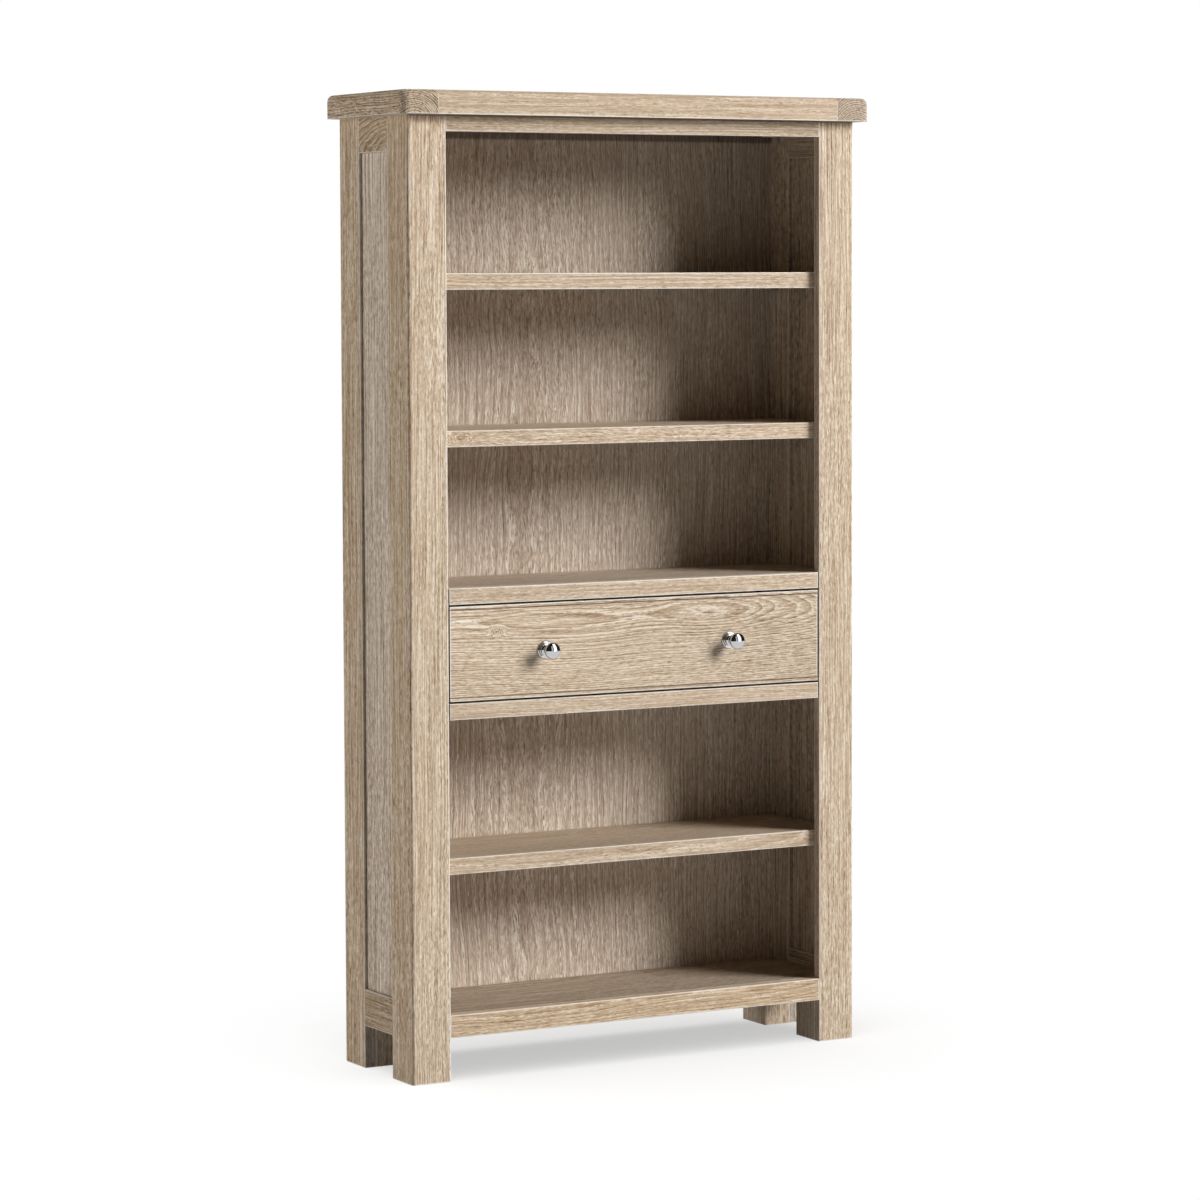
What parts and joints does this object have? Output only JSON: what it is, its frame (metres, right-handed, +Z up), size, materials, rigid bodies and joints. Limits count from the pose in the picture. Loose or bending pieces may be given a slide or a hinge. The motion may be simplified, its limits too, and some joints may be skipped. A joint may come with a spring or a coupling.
{
  "type": "bookcase",
  "caption": "Tall limed oak bookcase with framed sides, fixed and loose shelves, a mid-height drawer with chrome knobs and a thick breadboard-ended top",
  "frame": {"origin": "on the floor, under the middle of the whole outline, knobs included", "axes": "+X to the right seen from the front, +Y to the back, +Z up"},
  "size_m": [0.99, 0.3346, 1.8],
  "materials": {
    "limed_oak": "limed, matt lacquered oak",
    "drawer_box_oak": "plain oak, matt",
    "dowel_beech": "unfinished beech",
    "knob_chrome": "polished chrome plate",
    "pin_steel": "bright zinc plate",
    "screw_steel": "bright zinc plate"
  },
  "bodies": {
    "carcass": {"back_panel": "limed_oak", "back_panel_screws": "screw_steel", "board_dowels": "dowel_beech", "bottom_board": "limed_oak", "drawer_bottom_rail": "limed_oak", "drawer_catch_block": "limed_oak", "drawer_divider_board": "limed_oak", "drawer_rear_stops": "limed_oak", "drawer_top_rail": "limed_oak", "fixed_shelf_board": "limed_oak", "front_bottom_rail": "limed_oak", "front_top_rail": "limed_oak", "left_drawer_guide": "limed_oak", "left_drawer_kicker": "limed_oak", "left_drawer_runner": "limed_oak", "left_front_foot_block": "limed_oak", "left_front_leg_face_board": "limed_oak", "left_front_leg_side_board": "limed_oak", "left_lower_side_rail": "limed_oak", "left_rear_foot_block": "limed_oak", "left_rear_leg_face_board": "limed_oak", "left_rear_leg_side_board": "limed_oak", "left_side_panel": "limed_oak", "left_top_cleat": "limed_oak", "left_upper_side_rail": "limed_oak", "lower_shelf": "limed_oak", "middle_shelf": "limed_oak", "rail_dowels": "dowel_beech", "rear_bottom_rail": "limed_oak", "rear_top_rail": "limed_oak", "right_drawer_guide": "limed_oak", "right_drawer_kicker": "limed_oak", "right_drawer_runner": "limed_oak", "right_front_foot_block": "limed_oak", "right_front_leg_face_board": "limed_oak", "right_front_leg_side_board": "limed_oak", "right_lower_side_rail": "limed_oak", "right_rear_foot_block": "limed_oak", "right_rear_leg_face_board": "limed_oak", "right_rear_leg_side_board": "limed_oak", "right_side_panel": "limed_oak", "right_top_cleat": "limed_oak", "right_upper_side_rail": "limed_oak", "shelf_pins": "pin_steel", "top_left_end_board": "limed_oak", "top_middle_board": "limed_oak", "top_right_end_board": "limed_oak", "top_screws": "screw_steel", "upper_shelf": "limed_oak"},
    "drawer": {"drawer_back": "drawer_box_oak", "drawer_bottom": "drawer_box_oak", "drawer_dowels": "dowel_beech", "drawer_front": "limed_oak", "drawer_left_side": "drawer_box_oak", "drawer_right_side": "drawer_box_oak", "knob_screws": "screw_steel", "left_knob": "knob_chrome", "right_knob": "knob_chrome"}
  },
  "joints": [
    {"name": "drawer_slide", "type": "slide", "parent": "carcass", "child": "drawer", "axis": [0, -1, 0], "range_m": [0, 0.2]}
  ]
}
